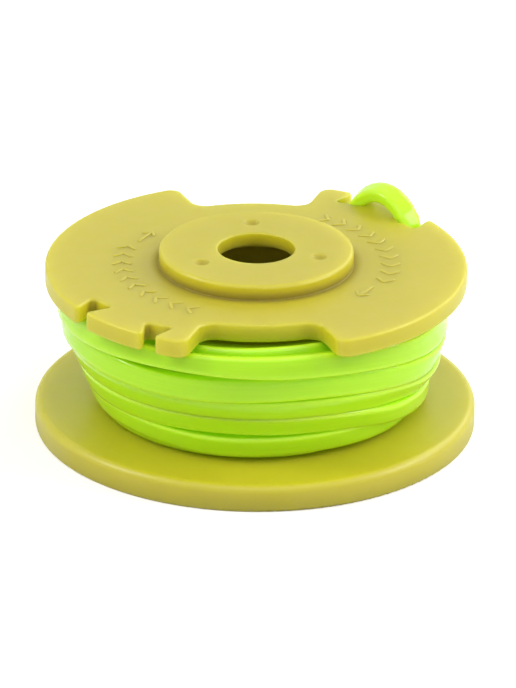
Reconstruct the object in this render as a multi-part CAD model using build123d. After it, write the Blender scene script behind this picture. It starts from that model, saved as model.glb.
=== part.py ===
from build123d import *
import os
from math import cos, radians, sin

# A trimmer line spool: a moulded body with two flanges on a hollow hub, and the line wound on it.
# Millimetres. +Z runs up the spindle bore, and the origin is the centre of the underside.
# The two cut-outs of the upper flange face -Y and +Y. Angles are in degrees from +X.

# Lower flange
LOWER_FLANGE_RADIUS = 31.0
LOWER_FLANGE_THICKNESS = 3.8
LOWER_RIM_TOP_ROUND = 1.0
LOWER_RIM_FOOT_ROUND = 0.4

# Hub, and the clear height that it leaves for the line
HUB_RADIUS = 16.0
HUB_WALL = 2.4
HUB_MOUTH_CHAMFER = 0.5
WINDING_SPACE = 17.5

# Upper flange: two lobes between a front and a rear cut-out
UPPER_FLANGE_RADIUS = 29.5
UPPER_FLANGE_THICKNESS = 2.7
FLANGE_EDGE_ROUND = 0.4
CUTOUT_INNER_RADIUS = 21.9
CUTOUT_HALF_ANGLE = 20.8
CUTOUT_CORNER_ROUND = 2.2
LOBE_CORNER_ROUND = 1.8

# Dovetail notches in the rim that hold the end of the line, two on each lobe, turned a little off the radius
NOTCH_ANGLES = (32.9, 57.5)
NOTCH_LEAN = 8.0
NOTCH_MOUTH_WIDTH = 1.7
NOTCH_BACK_WIDTH = 4.1
NOTCH_DEPTH = 3.9
NOTCH_BACK_ROUND = 0.5
NOTCH_LIP_ROUND = 0.6

# Boss with the spindle bore, and the gate marks that moulding leaves on its face
BOSS_RADIUS = 13.6
BOSS_HEIGHT = 2.2
BOSS_WALL = 1.8
BOSS_PLATE = 2.0
BOSS_EDGE_ROUND = 0.5
BOSS_FOOT_ROUND = 0.15
BORE_RADIUS = 5.4
BORE_EDGE_ROUND = 0.25
GATE_ANGLES = (92.2, 212.8, 339.4)
GATE_CIRCLE_RADIUS = 9.25
GATE_RADIUS = 1.15
GATE_DEPTH = 0.55

# Line: the turns of its outer layer, wider at the top than at the foot, and the loop at its end
LINE_WIDTH = 2.4
LINE_CORNER_ROUND = 0.6
LINE_CLEARANCE = 0.1
OUTER_TURNS = 5
OUTER_FOOT_GAP = 0.9
OUTER_TOP_GAP = 1.4
WINDING_FOOT_RADIUS = 24.2
WINDING_TOP_RADIUS = 26.4
NOTCH_CLEARANCE = 0.15
LOOP_SHOULDER = 1.3
LOOP_RISE = 2.6
LOOP_DROP = 2.3
LEAD_ANGLES = (90.0, 75.0)
RUN_SHARE = 0.45

# Heights worked out from the sizes above
UPPER_FLANGE_UNDERSIDE = LOWER_FLANGE_THICKNESS + WINDING_SPACE
UPPER_FLANGE_TOP = UPPER_FLANGE_UNDERSIDE + UPPER_FLANGE_THICKNESS
BOSS_TOP = UPPER_FLANGE_TOP + BOSS_HEIGHT

# Radius at which the line stands in the notches, against their backs
SEAT_RADIUS = UPPER_FLANGE_RADIUS - NOTCH_DEPTH + NOTCH_CLEARANCE + LINE_WIDTH / 2


def polar(radius, angle, height=0.0):
    """A point at a radius and an angle about the bore axis, at a height."""
    return Vector(radius * cos(radians(angle)), radius * sin(radians(angle)), height)


def disc(radius, bottom, top):
    """An upright cylinder about the bore axis, between two heights."""
    return Pos(0, 0, bottom) * extrude(Circle(radius), top - bottom)


def rim_edges(solid, radius, height):
    """The circular edges of a solid about the bore axis, at a radius and a height."""
    circles = solid.edges().filter_by(GeomType.CIRCLE)
    return circles.filter_by(
        lambda edge: abs(edge.radius - radius) < 1e-3 and edge.arc_center.sub(Vector(0, 0, height)).length < 1e-3
    )


def lower_flange():
    """The plain round flange that the spool stands on."""
    flange = disc(LOWER_FLANGE_RADIUS, 0, LOWER_FLANGE_THICKNESS)
    flange = fillet(rim_edges(flange, LOWER_FLANGE_RADIUS, LOWER_FLANGE_THICKNESS), LOWER_RIM_TOP_ROUND)
    return fillet(rim_edges(flange, LOWER_FLANGE_RADIUS, 0), LOWER_RIM_FOOT_ROUND)


def cutout_outline():
    """The rear cut-out: an arc round the hub, with radial sides that run out past the rim."""
    left = 90 + CUTOUT_HALF_ANGLE
    right = 90 - CUTOUT_HALF_ANGLE
    reach = UPPER_FLANGE_RADIUS / cos(radians(CUTOUT_HALF_ANGLE)) + FLANGE_EDGE_ROUND
    arc = ThreePointArc(
        polar(CUTOUT_INNER_RADIUS, right),
        polar(CUTOUT_INNER_RADIUS, 90),
        polar(CUTOUT_INNER_RADIUS, left),
    )
    sides = Polyline(arc @ 1, polar(reach, left), polar(reach, right), arc @ 0)
    outline = make_face([arc, sides])
    inner_corners = outline.vertices().sort_by_distance((0, 0))[:2]
    return fillet(inner_corners, CUTOUT_CORNER_ROUND)


def notch_outline():
    """A notch in the rim at +X: a dovetail, widest at its back, leant about the line's seat."""
    overrun = NOTCH_MOUTH_WIDTH / 2
    flare = (NOTCH_BACK_WIDTH - NOTCH_MOUTH_WIDTH) / NOTCH_DEPTH
    back = UPPER_FLANGE_RADIUS - NOTCH_DEPTH
    front = UPPER_FLANGE_RADIUS + overrun
    half_back = NOTCH_BACK_WIDTH / 2
    half_front = (NOTCH_MOUTH_WIDTH - flare * overrun) / 2
    outline = make_face(
        Polyline(
            (back, -half_back),
            (front, -half_front),
            (front, half_front),
            (back, half_back),
            close=True,
        )
    )
    back_corners = outline.vertices().sort_by_distance((0, 0))[:2]
    outline = fillet(back_corners, NOTCH_BACK_ROUND)
    return Pos(SEAT_RADIUS, 0) * Rot(0, 0, NOTCH_LEAN) * Pos(-SEAT_RADIUS, 0) * outline


def upper_flange():
    """The lobed flange: a disc with two cut-outs and four notches, and all its edges eased."""
    lobes = Circle(UPPER_FLANGE_RADIUS)
    for turn in (0, 180):
        lobes -= Rot(0, 0, turn) * cutout_outline()
    for side in (90, 270):
        for lean in (-CUTOUT_HALF_ANGLE, CUTOUT_HALF_ANGLE):
            lobe_corner = lobes.vertices().sort_by_distance(polar(UPPER_FLANGE_RADIUS, side + lean))[0]
            lobes = fillet(lobe_corner, LOBE_CORNER_ROUND)
    for turn in (0, 180):
        for angle in NOTCH_ANGLES:
            lobes -= Rot(0, 0, angle + turn) * notch_outline()
            lips = lobes.vertices().sort_by_distance(polar(UPPER_FLANGE_RADIUS, angle + turn))[:2]
            lobes = fillet(lips, NOTCH_LIP_ROUND)
    flange = Pos(0, 0, UPPER_FLANGE_UNDERSIDE) * extrude(lobes, UPPER_FLANGE_THICKNESS)
    top_edges = flange.faces().sort_by(Axis.Z)[-1].edges()
    bottom_edges = flange.faces().sort_by(Axis.Z)[0].edges()
    return fillet(top_edges + bottom_edges, FLANGE_EDGE_ROUND)


def gate_marks():
    """Shallow round dimples on the boss, one below each gate of the mould."""
    ball_radius = (GATE_RADIUS**2 + GATE_DEPTH**2) / (2 * GATE_DEPTH)
    ball_height = BOSS_TOP + ball_radius - GATE_DEPTH
    return [Pos(polar(GATE_CIRCLE_RADIUS, angle, ball_height)) * Sphere(ball_radius) for angle in GATE_ANGLES]


def spool_body():
    """The whole moulding: flanges, hub and boss, cored out from below and bored for the spindle."""
    body = lower_flange() + disc(HUB_RADIUS, 0, UPPER_FLANGE_TOP) + upper_flange()
    body += disc(BOSS_RADIUS, UPPER_FLANGE_UNDERSIDE, BOSS_TOP)
    body = fillet(rim_edges(body, BOSS_RADIUS, UPPER_FLANGE_TOP), BOSS_FOOT_ROUND)
    body = fillet(rim_edges(body, BOSS_RADIUS, BOSS_TOP), BOSS_EDGE_ROUND)
    socket_radius = HUB_RADIUS - HUB_WALL
    body -= disc(socket_radius, 0, UPPER_FLANGE_UNDERSIDE)
    body -= disc(BOSS_RADIUS - BOSS_WALL, UPPER_FLANGE_UNDERSIDE, BOSS_TOP - BOSS_PLATE)
    body -= disc(BORE_RADIUS, UPPER_FLANGE_UNDERSIDE, BOSS_TOP)
    body = chamfer(rim_edges(body, socket_radius, 0), HUB_MOUTH_CHAMFER)
    body = fillet(rim_edges(body, BORE_RADIUS, BOSS_TOP), BORE_EDGE_ROUND)
    for mark in gate_marks():
        body -= mark
    return body


def outer_turns():
    """The centre radius and height of each turn of the outer layer, from the lowest to the highest."""
    lowest = LOWER_FLANGE_THICKNESS + LINE_CLEARANCE + OUTER_FOOT_GAP
    highest = UPPER_FLANGE_UNDERSIDE - LINE_CLEARANCE - OUTER_TOP_GAP
    pitch = (highest - lowest) / OUTER_TURNS
    widening = (WINDING_TOP_RADIUS - WINDING_FOOT_RADIUS) / (OUTER_TURNS - 1)
    return [
        (WINDING_FOOT_RADIUS + turn * widening - LINE_WIDTH / 2, lowest + (turn + 0.5) * pitch)
        for turn in range(OUTER_TURNS)
    ], pitch


def winding():
    """The wound line as one ring: the outer layer's turns, on a core of the layers below it."""
    inner = HUB_RADIUS + LINE_CLEARANCE
    foot = LOWER_FLANGE_THICKNESS + LINE_CLEARANCE
    top = UPPER_FLANGE_UNDERSIDE - LINE_CLEARANCE
    turns, pitch = outer_turns()
    (low_radius, low_height), (high_radius, high_height) = turns[0], turns[-1]
    slope = (high_radius - low_radius) / (high_height - low_height)
    core_foot = low_radius + (foot - low_height) * slope
    core_top = high_radius + (top - high_height) * slope
    section = make_face(Polyline((inner, foot), (core_foot, foot), (core_top, top), (inner, top), close=True))
    for radius, height in turns:
        section += Pos(radius, height) * RectangleRounded(LINE_WIDTH, pitch, LINE_CORNER_ROUND)
    return revolve(Plane.XZ * section, Axis.Z)


def end_loop():
    """The end of the line: out of the top turn, up one notch, over the flange and down the next."""
    below = UPPER_FLANGE_UNDERSIDE - LOOP_DROP
    shoulder = UPPER_FLANGE_TOP + LOOP_SHOULDER
    far_notch, near_notch = NOTCH_ANGLES[1], NOTCH_ANGLES[0]
    top_turn_radius, top_turn_height = outer_turns()[0][-1]
    points = [polar(top_turn_radius, angle, top_turn_height) for angle in LEAD_ANGLES]
    points += [
        polar(SEAT_RADIUS, far_notch, below),
        polar(SEAT_RADIUS, far_notch, shoulder),
        polar(SEAT_RADIUS, (far_notch + near_notch) / 2, UPPER_FLANGE_TOP + LOOP_RISE),
        polar(SEAT_RADIUS, near_notch, shoulder),
        polar(SEAT_RADIUS, near_notch, below),
    ]
    runs = [end - start for start, end in zip(points, points[1:])]
    radii = []
    for before, after in zip(runs, runs[1:]):
        half_turn = radians(before.get_angle(after)) / 2
        radii.append(RUN_SHARE * min(before.length, after.length) * cos(half_turn) / sin(half_turn))
    print("end loop bend radii", [round(radius, 2) for radius in radii])
    route = FilletPolyline(*points, radius=radii)
    section = Plane(route @ 0, z_dir=route % 0) * Circle(LINE_WIDTH / 2)
    tube = sweep(section, route)
    print("end loop volume over section times length", tube.volume / (section.area * route.length))
    return tube


def trimmer_line():
    """The whole line: the winding, and the loop that stands up from it."""
    return winding() + end_loop()


os.makedirs("parts", exist_ok=True)
for name, solid in {"spool_body": spool_body(), "trimmer_line": trimmer_line()}.items():
    export_step(solid, f"parts/{name}.step")
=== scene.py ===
import math

import bpy
import numpy as np
from mathutils import Matrix, Vector


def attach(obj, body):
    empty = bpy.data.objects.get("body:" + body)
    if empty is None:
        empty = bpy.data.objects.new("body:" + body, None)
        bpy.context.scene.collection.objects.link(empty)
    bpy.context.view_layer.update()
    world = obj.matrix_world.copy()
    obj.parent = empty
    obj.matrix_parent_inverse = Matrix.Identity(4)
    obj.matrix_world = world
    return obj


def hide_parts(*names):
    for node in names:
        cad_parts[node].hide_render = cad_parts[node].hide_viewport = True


# A trimmer line spool: a moulded body, wound with cutting line whose end loops through two rim notches.
# The part is in metres with +Z up its spindle bore. The spool's sizes below are in millimetres, and the
# line's whole length, the floor and the lights are in metres.
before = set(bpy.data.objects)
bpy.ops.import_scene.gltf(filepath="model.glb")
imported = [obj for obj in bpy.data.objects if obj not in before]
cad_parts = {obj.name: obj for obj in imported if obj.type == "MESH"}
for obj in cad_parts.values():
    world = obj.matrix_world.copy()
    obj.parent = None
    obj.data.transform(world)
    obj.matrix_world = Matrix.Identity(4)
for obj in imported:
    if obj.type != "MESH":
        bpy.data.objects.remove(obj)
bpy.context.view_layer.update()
MM = 0.001


# Spool body
# One injection moulding in a tough polyamide, olive yellow all through and translucent. Its tool was
# lightly grained, so the flats have a satin sheen, and light that gets in makes thin walls glow.
# Its inside corners get a painted shade, a deeper colour, and less sheen.
BODY_COLOUR = "#C1B51E"
BODY_PALE_COLOUR = "#C9BD28"
BODY_CLOUD_SIZE = 14.0
BODY_SHEEN_SIZE = 3.0
BODY_GRAIN_SIZE = 0.45
BODY_GRAIN_HEIGHT = 0.006
BODY_ROUGHNESS = (0.38, 0.46)
BODY_TRANSLUCENCY = 1.0
BODY_LIGHT_REACH = 6.0
# Painted shade: the deeper colour mixed into inside corners.
CREASE_SHADE_COLOUR = "#9C8C06"
CREASE_REACH = 1.6
CREASE_OPENNESS = (0.97, 0.58)
CREASE_ROUGHNESS = 0.9
POLYAMIDE_IOR = 1.53
POLYAMIDE_LIGHT_REACHES = (1.0, 1.0, 0.25)
NOISE_RANGE = (0.3, 0.7)


def linear(colour):
    """The linear RGBA of an sRGB hex colour: each channel over 255, with the sRGB curve undone."""
    channels = [int(colour[place : place + 2], 16) / 255 for place in (1, 3, 5)]
    return [c / 12.92 if c <= 0.04045 else ((c + 0.055) / 1.055) ** 2.4 for c in channels] + [1.0]


def add_node(tree, kind, inputs=None, **settings):
    """Adds a node, sets its properties and fills its input sockets, by name or number: a node and the
    name or number of one of its outputs are linked, and any other value is set on the socket."""
    node = tree.nodes.new(kind)
    for name, value in settings.items():
        setattr(node, name, value)
    for socket, value in (inputs or {}).items():
        if isinstance(value, tuple) and isinstance(value[0], bpy.types.Node):
            tree.links.new(value[0].outputs[value[1]], node.inputs[socket])
        else:
            node.inputs[socket].default_value = value
    return node


def new_material(name):
    """An empty node material."""
    material = bpy.data.materials.new(name)
    material.use_nodes = True
    material.node_tree.nodes.clear()
    return material


def moulded_polyamide(name, dark, pale, light_reach):
    """Satin moulded polyamide: clouded between two colours, with an uneven sheen, tool grain that is drawn
    coarse enough to show, and light that seeps in as far as a reach in millimetres. How open a place is,
    which is the share of short rays from it that miss the piece, mixes in a painted shade, a deeper
    colour, and the dull surface of creases."""
    material = new_material(name)
    tree = material.node_tree
    place = add_node(tree, "ShaderNodeTexCoord")
    clouds = add_node(
        tree,
        "ShaderNodeTexNoise",
        {"Vector": (place, "Object"), "Scale": 1 / (BODY_CLOUD_SIZE * MM), "Detail": 2.0},
    )
    colour = add_node(
        tree,
        "ShaderNodeMix",
        {0: (clouds, "Fac"), 6: linear(dark), 7: linear(pale)},
        data_type="RGBA",
    )
    nook = add_node(
        tree,
        "ShaderNodeAmbientOcclusion",
        {"Distance": CREASE_REACH * MM},
        only_local=True,
        samples=8,
    )
    crease_shade_and_dulling = add_node(
        tree,
        "ShaderNodeMapRange",
        {"Value": (nook, "AO"), "From Min": CREASE_OPENNESS[0], "From Max": CREASE_OPENNESS[1]},
    )
    # Painted shade: a deeper colour where the piece is closed in.
    crease_shaded = add_node(
        tree,
        "ShaderNodeMix",
        {0: (crease_shade_and_dulling, "Result"), 6: (colour, 2), 7: linear(CREASE_SHADE_COLOUR)},
        data_type="RGBA",
    )
    sheen = add_node(
        tree,
        "ShaderNodeTexNoise",
        {"Vector": (place, "Object"), "Scale": 1 / (BODY_SHEEN_SIZE * MM), "Detail": 3.0},
    )
    roughness = add_node(
        tree,
        "ShaderNodeMapRange",
        {
            "Value": (sheen, "Fac"),
            "From Min": NOISE_RANGE[0],
            "From Max": NOISE_RANGE[1],
            "To Min": BODY_ROUGHNESS[0],
            "To Max": BODY_ROUGHNESS[1],
        },
    )
    dulled = add_node(
        tree,
        "ShaderNodeMix",
        {0: (crease_shade_and_dulling, "Result"), 2: (roughness, "Result"), 3: CREASE_ROUGHNESS},
    )
    grain = add_node(
        tree,
        "ShaderNodeTexNoise",
        {"Vector": (place, "Object"), "Scale": 1 / (BODY_GRAIN_SIZE * MM), "Detail": 2.0},
    )
    bump = add_node(
        tree,
        "ShaderNodeBump",
        {"Height": (grain, "Fac"), "Distance": BODY_GRAIN_HEIGHT * MM, "Strength": 1.0},
    )
    shader = add_node(
        tree,
        "ShaderNodeBsdfPrincipled",
        {
            "Base Color": (crease_shaded, 2),
            "Roughness": (dulled, 0),
            "Normal": (bump, "Normal"),
            "IOR": POLYAMIDE_IOR,
            "Subsurface Weight": BODY_TRANSLUCENCY,
            "Subsurface Radius": POLYAMIDE_LIGHT_REACHES,
            "Subsurface Scale": light_reach * MM,
        },
    )
    add_node(tree, "ShaderNodeOutputMaterial", {"Surface": (shader, "BSDF")})
    return material


body_plastic = moulded_polyamide(
    "moulded_polyamide", BODY_COLOUR, BODY_PALE_COLOUR, BODY_LIGHT_REACH
)
spool_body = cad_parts["spool_body"]
spool_body.data.materials.clear()
spool_body.data.materials.append(body_plastic)


# Winding marks
# A row of raised chevrons and an arrow on each lobe of the upper flange show which way to wind the line.
# They are cut into the mould, so they are one with the flange, and a paler colour paints a highlight on
# them.
UPPER_FLANGE_TOP = 24.0
MARK_RADIUS = 18.8
MARK_HALF_HEIGHT = 1.4
MARK_TIP = 1.2
MARK_STROKE = 0.55
MARK_RAISE = 0.13
# Paler than the body: a painted highlight, for the light that the raised strokes catch.
MARK_HIGHLIT_COLOUR = "#C4B828"
MARK_HIGHLIT_PALE_COLOUR = "#CEC236"
MARK_LIGHT_REACH = 0.3
MARK_COUNT = 10
MARK_FIRST_ANGLES = (57.0, 240.0)
MARK_STEP = 8.6
ARROW_GAP = 14.0
ARROW_RADIUS = 18.1
ARROW_LENGTH = 4.0
ARROW_HEAD = 1.1
STROKE_RINGS = 17
STROKE_POINTS = 12
STROKE_DRAW_IN = 0.98
STROKE_DRAW_IN_POWER = 12
TUBE_SHARP_ANGLE = 75.0


def closed_tubes(name, grid, material):
    """A piece made of closed tubes, from an array of tubes, rings, points round a ring and coordinates:
    a quad between neighbouring points of neighbouring rings, and one flat face on each end ring, whose
    edge stays crisp because it is sharper than a limit."""
    index = np.arange(grid[..., 0].size).reshape(grid.shape[:3])
    beside = np.roll(index, -1, axis=2)
    quads = np.stack([index[:, :-1], beside[:, :-1], beside[:, 1:], index[:, 1:]], axis=-1)
    ends = np.concatenate([index[:, 0, ::-1], index[:, -1]])
    mesh = bpy.data.meshes.new(name)
    mesh.from_pydata(grid.reshape(-1, 3).tolist(), [], quads.reshape(-1, 4).tolist() + ends.tolist())
    mesh.shade_smooth()
    mesh.set_sharp_from_angle(angle=math.radians(TUBE_SHARP_ANGLE))
    mesh.materials.append(material)
    piece = bpy.data.objects.new(name, mesh)
    bpy.context.scene.collection.objects.link(piece)
    return piece


def strokes(lines):
    """Raised strokes on the flange, from rows of clockwise and outward places: the section is an ellipse
    that is as wide as the stroke and half sunk, and it draws in near both ends, by the root of one less
    a high power of the place along the stroke."""
    lines = np.asarray(lines)
    along = np.linspace(-1, 1, lines.shape[1])
    draw_in = np.sqrt(1 - STROKE_DRAW_IN * along**STROKE_DRAW_IN_POWER)[None, :, None]
    turn = np.linspace(0, 2 * np.pi, STROKE_POINTS, endpoint=False)
    run = np.gradient(lines, axis=1)
    run /= np.linalg.norm(run, axis=2, keepdims=True)
    side = np.stack([-run[..., 1], run[..., 0]], axis=-1)
    bar_side = np.cos(turn) * MARK_STROKE / 2
    bar_rise = np.sin(turn) * MARK_RAISE
    flat = lines[:, :, None, :] + side[:, :, None, :] * (bar_side * draw_in)[..., None]
    rise = np.broadcast_to(bar_rise * draw_in, flat.shape[:3])
    return np.concatenate([flat, rise[..., None]], axis=-1)


def on_ring(bars, radius, angle):
    """Bars set on the flange at a radius and an angle: a clockwise place turns them back round the axis."""
    turned = np.radians(angle) - bars[..., 0] / radius
    reach = radius + bars[..., 1]
    height = UPPER_FLANGE_TOP + bars[..., 2]
    return np.stack([reach * np.cos(turned), reach * np.sin(turned), height], axis=-1)


steps = np.linspace(-1, 1, STROKE_RINGS)
chevron = np.stack([MARK_TIP * (0.5 - np.abs(steps)), MARK_HALF_HEIGHT * steps], axis=-1)
shaft = np.stack([ARROW_LENGTH / 2 * steps, 0 * steps], axis=-1)
head = np.stack([ARROW_LENGTH / 2 - ARROW_HEAD * np.abs(steps), ARROW_HEAD * steps], axis=-1)
marks = []
for first in MARK_FIRST_ANGLES:
    for count in range(MARK_COUNT):
        marks.append(on_ring(strokes([chevron]), MARK_RADIUS, first - count * MARK_STEP))
    arrow_angle = first - (MARK_COUNT - 1) * MARK_STEP - ARROW_GAP
    marks.append(on_ring(strokes([shaft, head]), ARROW_RADIUS, arrow_angle))
# The marks' paler colours paint a highlight on them.
mark_plastic = moulded_polyamide(
    "highlit_polyamide", MARK_HIGHLIT_COLOUR, MARK_HIGHLIT_PALE_COLOUR, MARK_LIGHT_REACH
)
winding_marks = closed_tubes("winding_marks", np.concatenate(marks) * MM, mark_plastic)
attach(winding_marks, "root")


# Trimmer line
# One length of extruded nylon, an oblong with rounded corners, in fluorescent lime. It is wound clockwise
# in four layers, broad side out, and the winding presses it flatter. Its outer end turns on edge, goes up
# through one notch of the right lobe and comes down through the next.
LINE_BREADTH = 3.1
LINE_THICKNESS = 1.9
LINE_PRESS = 1.1
LINE_SQUARENESS = 7.0
TILT_HEIGHTS = (6.7, 12.9, 16.1, 19.2)
TILT_ANGLES = (-19.0, -20.5, 3.0, 15.0)
LINE_ROLL = 18.0
LINE_ROLL_LENGTH = 67.0
ROLL_SIDE_ANGLE = 0.0
ROLL_SIDE_POWER = 3
LOOP_QUARTER_TURN = (50.0, 22.0)
RING_POINTS = 24
SPLINE_STEPS = 5
TURN_POINTS = 24
CROSSING_START = 350.0
CROSSING_SWEEP = 65.0
LAYER_TURNS = (6, 6, 6, 5)
# Each pair: the first and the last turn of a layer.
LAYER_RADII = ((17.2, 17.2), (19.0, 19.8), (22.6, 21.6), (22.7, 22.7))
LAYER_HEIGHTS = ((18.2, 5.85), (5.85, 18.0), (19.5, 5.85), (6.7, 19.2))
FIRST_TURN_START = 0.5
OUTER_GROWTH = 3.6
OUTER_GROWTH_POWER = 1.25
OUTER_LEAN = 0.9
LEAN_ANGLE = 180.0
LEAN_MIDDLE = 0.45
RADIUS_WANDER = 0.12
RADIUS_WAVES = 2.3
HEIGHT_WANDER = 0.25
HEIGHT_WAVES = 1.37
# Each row: a turn's number, the angle and the spread of its lift in degrees, and the lift.
SLITS = (
    (12, 140.0, 60.0, -0.3),
    (12, 252.0, 16.0, -0.35),
    (22, 240.0, 30.0, 0.6),
    (21, 242.0, 26.0, -0.7),
    (19, 254.0, 18.0, 0.35),
    (18, 254.0, 18.0, -0.45),
    (20, 316.0, 7.0, 0.5),
    (19, 316.0, 7.0, -0.4),
)
RELIEF_ANGLE = 240.0
RELIEF_SPREAD = 30.0
PRESS_RELIEF = 0.24
TOP_TURN_RADIUS = 24.5
TOP_TURN_HEIGHT = 17.5
LEAD_START_ANGLE = 92.0
SEAT_RADIUS = 27.25
# Each row: radius, angle in degrees and height.
LOOP_POINTS = (
    (26.1, 75.0, 18.6),
    (SEAT_RADIUS, 58.2, 19.0),
    (SEAT_RADIUS, 56.3, 24.3),
    (SEAT_RADIUS, 46.2, 27.0),
    (SEAT_RADIUS, 34.0, 24.2),
    (SEAT_RADIUS, 32.7, 19.0),
)
LINE_COLOUR = "#B5EC1E"
LINE_PALE_COLOUR = "#C1F528"
# Painted highlight: a paler colour for the corners and the loop.
LINE_EDGE_HIGHLIGHT_COLOUR = "#C6F92E"
# Painted glow: the whole line glows a little, and more at the corners and in the loop.
LINE_GLOW_COLOUR = "#303A00"
EDGE_GLOW_COLOUR = "#424F08"
LINE_STREAK_WIDTH = 0.5
LINE_STREAK_LENGTH = 14.0
LINE_DRAW_HEIGHT = 0.005
LINE_ROUGHNESS = (0.08, 0.16)
LINE_SPECULAR_LEVEL = 0.3
LINE_TRANSLUCENCY = 0.7
LINE_LIGHT_REACH = 1.1
CORNER_EVENNESS = (0.55, 0.85)


def cylindrical(radius, angle, height):
    """Points at a radius, an angle in degrees and a height, as rows of three coordinates."""
    angle = np.radians(angle)
    return np.stack([radius * np.cos(angle), radius * np.sin(angle), height], axis=-1)


def winding_points():
    """Control points of the wound turns. Each turn is level, and steps to the next one's radius and
    height in one crossing zone. The outer layer also grows outward as it climbs, and its axis leans to
    one side. All turns wander a little, as sines of the turn, and bell-shaped lifts open a few slits
    between them. The points stand a little outside the turns, since the curve that they lead runs
    through the middles of their chords."""
    last = sum(LAYER_TURNS) - 1 + (CROSSING_START - LEAD_START_ANGLE) / 360
    turn = np.arange(FIRST_TURN_START, last, 1 / TURN_POINTS)
    angle = CROSSING_START - 360 * turn
    number = np.floor(turn).astype(int)
    ease = np.clip((turn - number) * 360 / CROSSING_SWEEP, 0, 1)
    ease = ease**2 * (3 - 2 * ease)

    def stepped(layers):
        rows = [np.linspace(*ends, count) for ends, count in zip(layers, LAYER_TURNS)]
        stations = np.concatenate(rows)
        before = stations[np.maximum(number - 1, 0)]
        return before + (stations[number] - before) * ease

    climb = (turn - sum(LAYER_TURNS[:-1]) - CROSSING_SWEEP / 360) / (LAYER_TURNS[-1] - 1)
    climb = np.clip(climb, 0, 1)
    lean = OUTER_LEAN * np.where(climb > 0, climb - LEAN_MIDDLE, 0)
    radius = stepped(LAYER_RADII)
    radius += OUTER_GROWTH * (1 - (1 - climb) ** OUTER_GROWTH_POWER)
    radius += lean * np.cos(np.radians(angle - LEAN_ANGLE))
    radius += RADIUS_WANDER * np.sin(2 * np.pi * RADIUS_WAVES * turn)
    height = stepped(LAYER_HEIGHTS)
    height += HEIGHT_WANDER * np.sin(2 * np.pi * HEIGHT_WAVES * turn)
    for slit_turn, slit_angle, spread, lift in SLITS:
        apart = (turn - slit_turn) * 360 - (CROSSING_START - slit_angle)
        height += lift * np.exp(-((apart / spread) ** 2))
    return cylindrical(radius / np.cos(np.pi / TURN_POINTS), angle, height)


def spline_points(points):
    """The smooth line that control points lead: a NURBS curve of order 3 from the first to the last."""
    curve = bpy.data.curves.new("line_route", "CURVE")
    curve.dimensions = "3D"
    spline = curve.splines.new("NURBS")
    spline.points.add(len(points) - 1)
    weighted = np.concatenate([points, np.ones((len(points), 1))], axis=1)
    spline.points.foreach_set("co", weighted.ravel())
    spline.order_u = 3
    spline.use_endpoint_u = True
    spline.resolution_u = SPLINE_STEPS
    route = bpy.data.objects.new("line_route", curve)
    wire = bpy.data.meshes.new_from_object(route)
    places = np.empty(len(wire.vertices) * 3)
    wire.vertices.foreach_get("co", places)
    bpy.data.objects.remove(route)
    bpy.data.curves.remove(curve)
    bpy.data.meshes.remove(wire)
    return places.reshape(-1, 3)


def line_lay(path, along):
    """How the line's section lies at each point of its path. It tilts with the height: the lower turns lie
    along the winding's slope, and the top ones face up. It rolls to and fro as a sine of the length, most
    at one side of the spool. Before the loop it makes a quarter turn. It is pressed broader where it is
    wound, less so where the top turn stands clear of the next one, by a bell-shaped relief.
    Returns the tilt, the press and how far it is wound, from 0 to 1."""
    angle = np.arctan2(path[:, 1], path[:, 0])
    tilt = np.radians(np.interp(path[:, 2], TILT_HEIGHTS, TILT_ANGLES))
    nearness = (1 + np.cos(angle - np.radians(ROLL_SIDE_ANGLE))) / 2
    roll = np.radians(LINE_ROLL * nearness**ROLL_SIDE_POWER)
    tilt += roll * np.sin(2 * np.pi * along / LINE_ROLL_LENGTH)
    wound = np.interp(along[-1] - along, LOOP_QUARTER_TURN[::-1], (0, 1))
    tilt += np.pi / 2 * (1 - wound)
    apart = (np.degrees(angle) - RELIEF_ANGLE + 180) % 360 - 180
    outer = np.hypot(path[:, 0], path[:, 1]) > TOP_TURN_RADIUS
    top_turn = outer & (path[:, 2] > TOP_TURN_HEIGHT)
    relief = PRESS_RELIEF * np.exp(-((apart / RELIEF_SPREAD) ** 2)) * top_turn
    press = 1 + (LINE_PRESS - 1) * wound - relief
    return tilt[:, None], press[:, None], wound[:, None]


def oblong_tube(path):
    """A rounded oblong carried along a path. Its edge is a superellipse: the powers of the two half-sizes'
    shares add up to one. Pressing makes it broader and as much thinner.
    Returns the rings of points, each point's place in the line as if it were straight, in millimetres,
    and how much painted highlight it gets, from 0 to 1: most at the corners, where the two shares are
    nearly even, and in the loop."""
    step = np.linalg.norm(np.diff(path, axis=0), axis=1)
    along = np.concatenate([[0], np.cumsum(step)])
    forward = np.gradient(path, along, axis=0)
    forward /= np.linalg.norm(forward, axis=1, keepdims=True)
    outward = path * (1, 1, 0)
    outward -= forward * np.sum(outward * forward, axis=1, keepdims=True)
    outward /= np.linalg.norm(outward, axis=1, keepdims=True)
    sideways = np.cross(forward, outward)
    tilt, press, wound = line_lay(path, along)
    turn = np.linspace(0, 2 * np.pi, RING_POINTS, endpoint=False)
    share = np.stack([np.cos(turn), np.sin(turn)])
    share /= np.sum(np.abs(share) ** LINE_SQUARENESS, axis=0) ** (1 / LINE_SQUARENESS)
    thick = share[0] * LINE_THICKNESS / 2 / press
    broad = share[1] * LINE_BREADTH / 2 * press
    across = thick * np.cos(tilt) - broad * np.sin(tilt)
    over = thick * np.sin(tilt) + broad * np.cos(tilt)
    rings = path[:, None, :] + across[..., None] * outward[:, None, :]
    rings += over[..., None] * sideways[:, None, :]
    length = np.broadcast_to(along[:, None], across.shape)
    straight = np.stack([thick, broad, length], axis=-1)
    evenness = np.min(np.abs(share), axis=0) / np.max(np.abs(share), axis=0)
    paleness = np.maximum(np.interp(evenness, CORNER_EVENNESS, (0, 1)), 1 - wound)
    return rings, straight, paleness


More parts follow.
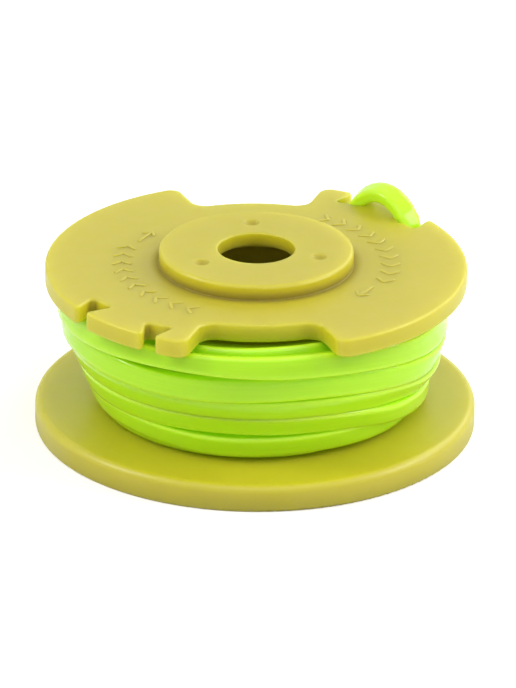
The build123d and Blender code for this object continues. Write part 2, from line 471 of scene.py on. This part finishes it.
def extruded_nylon():
    """Fluorescent extruded nylon: streaks drawn along the line, gloss, light that seeps in, a faint painted
    glow all over, and a painted highlight, a paler colour and a brighter glow, at the corners and in the
    loop."""
    material = new_material("extruded_nylon")
    tree = material.node_tree
    place = add_node(tree, "ShaderNodeAttribute", attribute_name="straight_line")
    paleness = add_node(tree, "ShaderNodeAttribute", attribute_name="paleness")
    drawn = add_node(
        tree,
        "ShaderNodeMapping",
        {
            "Vector": (place, "Vector"),
            "Scale": (1 / LINE_STREAK_WIDTH, 1 / LINE_STREAK_WIDTH, 1 / LINE_STREAK_LENGTH),
        },
    )
    streaks = add_node(
        tree,
        "ShaderNodeTexNoise",
        {"Vector": (drawn, "Vector"), "Scale": 1.0, "Detail": 2.0},
    )
    colour = add_node(
        tree,
        "ShaderNodeMix",
        {0: (streaks, "Fac"), 6: linear(LINE_COLOUR), 7: linear(LINE_PALE_COLOUR)},
        data_type="RGBA",
    )
    # Painted highlight: the corners and the loop are paler.
    edge_highlighted = add_node(
        tree,
        "ShaderNodeMix",
        {0: (paleness, "Fac"), 6: (colour, 2), 7: linear(LINE_EDGE_HIGHLIGHT_COLOUR)},
        data_type="RGBA",
    )
    glow = add_node(
        tree,
        "ShaderNodeMix",
        {0: (paleness, "Fac"), 6: linear(LINE_GLOW_COLOUR), 7: linear(EDGE_GLOW_COLOUR)},
        data_type="RGBA",
    )
    roughness = add_node(
        tree,
        "ShaderNodeMapRange",
        {
            "Value": (streaks, "Fac"),
            "From Min": NOISE_RANGE[0],
            "From Max": NOISE_RANGE[1],
            "To Min": LINE_ROUGHNESS[0],
            "To Max": LINE_ROUGHNESS[1],
        },
    )
    bump = add_node(
        tree,
        "ShaderNodeBump",
        {"Height": (streaks, "Fac"), "Distance": LINE_DRAW_HEIGHT * MM, "Strength": 1.0},
    )
    shader = add_node(
        tree,
        "ShaderNodeBsdfPrincipled",
        {
            "Base Color": (edge_highlighted, 2),
            "Roughness": (roughness, "Result"),
            "Normal": (bump, "Normal"),
            "IOR": POLYAMIDE_IOR,
            "Specular IOR Level": LINE_SPECULAR_LEVEL,
            "Subsurface Weight": LINE_TRANSLUCENCY,
            "Subsurface Radius": POLYAMIDE_LIGHT_REACHES,
            "Subsurface Scale": LINE_LIGHT_REACH * MM,
            "Emission Color": (glow, 2),
            "Emission Strength": 1.0,
        },
    )
    add_node(tree, "ShaderNodeOutputMaterial", {"Surface": (shader, "BSDF")})
    return material


loop_points = np.array([cylindrical(*point) for point in LOOP_POINTS])
line_path = spline_points(np.concatenate([winding_points(), loop_points]))
line_rings, line_straight, line_painted_light = oblong_tube(line_path)
trimmer_line = closed_tubes("trimmer_line_wound", line_rings[None] * MM, extruded_nylon())
straight_place = trimmer_line.data.attributes.new("straight_line", "FLOAT_VECTOR", "POINT")
straight_place.data.foreach_set("vector", line_straight.ravel())
painted_light_place = trimmer_line.data.attributes.new("paleness", "FLOAT", "POINT")
painted_light_place.data.foreach_set("value", line_painted_light.ravel())
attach(trimmer_line, "root")
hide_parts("trimmer_line")


# Floor
# A plain pale sheet that the spool stands on. The camera sees it as white paper, and it keeps the soft
# shadow of the spool and sends light back up at the walls.
FLOOR_SIZE = 6.0
FLOOR_COLOUR = "#E7E7E7"
FLOOR_SEEN_WHITE = 0.4


def seen_white(tree):
    """A node that is 1 for rays from the camera and for reflected and transmitted rays, or else 0."""
    rays = add_node(tree, "ShaderNodeLightPath")
    mirrored = add_node(
        tree,
        "ShaderNodeMath",
        {0: (rays, "Is Camera Ray"), 1: (rays, "Is Glossy Ray")},
        operation="MAXIMUM",
    )
    return add_node(
        tree,
        "ShaderNodeMath",
        {0: (mirrored, "Value"), 1: (rays, "Is Transmission Ray")},
        operation="MAXIMUM",
    )


def pale_paper():
    """Matt pale paper: a diffuse sheet, with a share of white added where it is seen."""
    material = new_material("pale_paper")
    tree = material.node_tree
    sheet = add_node(tree, "ShaderNodeBsdfDiffuse", {"Color": linear(FLOOR_COLOUR)})
    strength = add_node(
        tree,
        "ShaderNodeMath",
        {0: (seen_white(tree), "Value"), 1: FLOOR_SEEN_WHITE},
        operation="MULTIPLY",
    )
    white = add_node(tree, "ShaderNodeEmission", {"Strength": (strength, "Value")})
    paper = add_node(tree, "ShaderNodeAddShader", {0: (sheet, "BSDF"), 1: (white, "Emission")})
    add_node(tree, "ShaderNodeOutputMaterial", {"Surface": (paper, "Shader")})
    return material


floor_mesh = bpy.data.meshes.new("floor")
half = FLOOR_SIZE / 2
corners = [(-half, -half, 0), (half, -half, 0), (half, half, 0), (-half, half, 0)]
floor_mesh.from_pydata(corners, [], [(0, 1, 2, 3)])
floor_mesh.materials.append(pale_paper())
floor = bpy.data.objects.new("floor", floor_mesh)
bpy.context.scene.collection.objects.link(floor)


# Light
# A studio table in a dim room: a softbox high in front, a wide panel to the right and one behind it, and
# to the left a slim strip that draws bright lines along edges and turns.
ROOM_STRENGTH = 0.26
AIM = (0.0, 0.0, 0.012)
# Each row: name, place, size and power in watts.
SOFTBOXES = (
    ("front_softbox", (0.0, -0.36, 0.61), (0.6, 0.4), 1.5),
    ("right_panel", (0.62, -0.05, 0.37), (0.4, 0.35), 2.8),
    ("back_right_panel", (0.42, 0.42, 0.4), (0.4, 0.4), 1.4),
    ("left_strip", (-0.52, -0.06, 0.42), (0.12, 0.35), 1.9),
)

world = bpy.data.worlds.new("studio")
world.use_nodes = True
world.node_tree.nodes.clear()
room_strength = add_node(
    world.node_tree,
    "ShaderNodeMapRange",
    {"Value": (seen_white(world.node_tree), "Value"), "To Min": ROOM_STRENGTH, "To Max": 1.0},
)
room = add_node(
    world.node_tree,
    "ShaderNodeBackground",
    {"Color": (1.0, 1.0, 1.0, 1.0), "Strength": (room_strength, "Result")},
)
add_node(world.node_tree, "ShaderNodeOutputWorld", {"Surface": (room, "Background")})
bpy.context.scene.world = world
for name, place, size, power in SOFTBOXES:
    lamp = bpy.data.lights.new(name, "AREA")
    lamp.shape = "RECTANGLE"
    lamp.size, lamp.size_y = size
    lamp.energy = power
    softbox = bpy.data.objects.new(name, lamp)
    softbox.location = place
    softbox.rotation_euler = (Vector(AIM) - Vector(place)).to_track_quat("-Z", "Y").to_euler()
    bpy.context.scene.collection.objects.link(softbox)
bpy.context.scene.view_settings.view_transform = "Standard"


# Camera
# A long lens about 0.8 m away, which looks down on the spool from a little left of the front cut-out's
# middle. The clip distance is in metres.
CAMERA_ANGLE = 267.9
CAMERA_ELEVATION = 23.8
CAMERA_DISTANCE = 818.468
CAMERA_ROLL = 0.545
CAMERA_TARGET = (0.362, 0.013, 11.511)
PHOTO_HEIGHT_PIXELS = 688
PHOTO_FOCAL_PIXELS = 5822.0
SENSOR_SIZE = 36.0
CLIP_START = 0.01

turn = math.radians(CAMERA_ANGLE)
rise = math.radians(CAMERA_ELEVATION)
back = Vector((math.cos(turn) * math.cos(rise), math.sin(turn) * math.cos(rise), math.sin(rise)))
right = Vector((-math.sin(turn), math.cos(turn), 0))
up = back.cross(right)
axes = Matrix((right, up, back)).transposed().to_4x4()
camera_data = bpy.data.cameras.new("camera")
camera_data.sensor_width = SENSOR_SIZE
camera_data.lens = PHOTO_FOCAL_PIXELS / PHOTO_HEIGHT_PIXELS * SENSOR_SIZE
camera_data.clip_start = CLIP_START
camera = bpy.data.objects.new("camera", camera_data)
place = (Vector(CAMERA_TARGET) + back * CAMERA_DISTANCE) * MM
roll = Matrix.Rotation(math.radians(CAMERA_ROLL), 4, "Z")
camera.matrix_world = Matrix.Translation(place) @ axes @ roll
bpy.context.scene.collection.objects.link(camera)
bpy.context.scene.camera = camera
